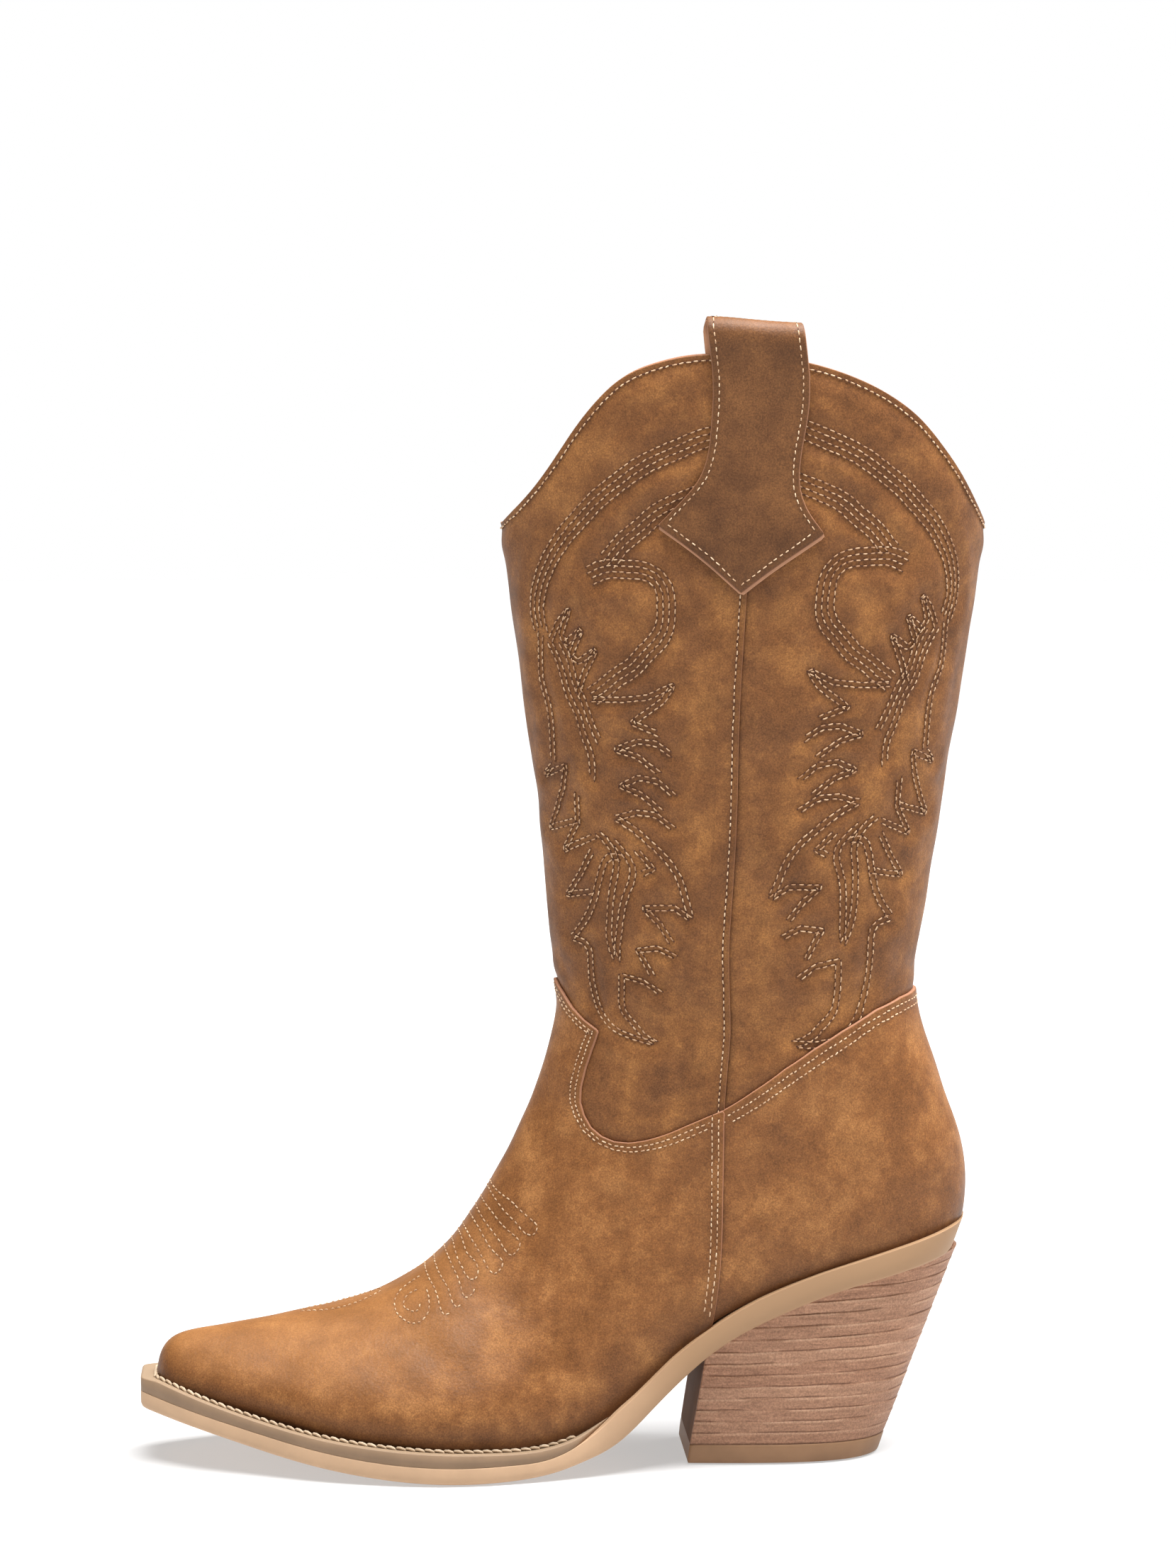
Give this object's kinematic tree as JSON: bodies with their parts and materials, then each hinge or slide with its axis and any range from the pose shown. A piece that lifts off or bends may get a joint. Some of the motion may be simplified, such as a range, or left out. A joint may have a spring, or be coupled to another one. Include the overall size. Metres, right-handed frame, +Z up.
{
  "type": "cowboy boot",
  "caption": "Left pull-on western boot: pointed toe, slanted stacked heel, scalloped shaft with stitched arches and looped pull straps on both sides.",
  "frame": {"origin": "centre of the footprint box on the floor, under the heel and ball", "axes": "-X towards the toe, +X towards the heel, -Y the outer side of the left foot, +Z up the shaft"},
  "size_m": [0.2769, 0.0994, 0.3728],
  "materials": {
    "foxing_leather": "mottled cognac, soft sheen",
    "shaft_leather": "mottled cognac, soft sheen",
    "strap_leather": "cognac, soft sheen",
    "lining_leather": "cream, matt",
    "lining_textile": "cream twill",
    "sock_leather": "cream, matt",
    "stiffener": "stiffened fibre",
    "backing": "cotton backing",
    "insole_board": "pressed fibre board",
    "cushion_foam": "soft foam",
    "filler_cork": "ground cork",
    "shank_steel": "ribbed strip",
    "welt": "taupe edge, cream top",
    "outsole": "matt cream tan",
    "heel_block": "smooth brown",
    "heel_stack": "thin stacked layers",
    "top_lift": "matt tan",
    "fastener_steel": "plain steel"
  },
  "bodies": {
    "boot": {"vamp": "foxing_leather", "counter": "foxing_leather", "shaft_front_panel": "shaft_leather", "shaft_rear_panel": "shaft_leather", "shaft_lining_front": "lining_leather", "shaft_lining_rear": "lining_leather", "vamp_lining": "lining_textile", "heel_lining": "lining_leather", "toe_puff": "stiffener", "vamp_backing": "backing", "heel_counter_stiffener": "stiffener", "insole_board": "insole_board", "sock_liner": "sock_leather", "heel_cushion_pad": "cushion_foam", "steel_shank": "shank_steel", "bottom_filler": "filler_cork", "welt": "welt", "outsole": "outsole", "heel_block": "heel_block", "heel_stack_wrap": "heel_stack", "top_lift": "top_lift", "top_lift_pins": "fastener_steel", "heel_screw": "fastener_steel", "heel_nails": "fastener_steel", "lateral_pull_strap_outer": "strap_leather", "lateral_pull_strap_inner": "strap_leather", "medial_pull_strap_outer": "strap_leather", "medial_pull_strap_inner": "strap_leather"},
    "lateral_loop": {"lateral_pull_loop": "strap_leather"},
    "medial_loop": {"medial_pull_loop": "strap_leather"}
  },
  "joints": [
    {"name": "lateral_loop_bend", "type": "hinge", "parent": "boot", "child": "lateral_loop", "pos_m": [0.0611, -0.03995, 0.3613], "axis": [0.9918, -0.0985, -0.0815], "range_deg": [-12, 12], "stiffness_Nm_per_rad": 0.02},
    {"name": "medial_loop_bend", "type": "hinge", "parent": "boot", "child": "medial_loop", "pos_m": [0.0671, 0.0478, 0.3613], "axis": [0.9962, -0.0307, -0.0819], "range_deg": [-12, 12], "stiffness_Nm_per_rad": 0.02}
  ]
}
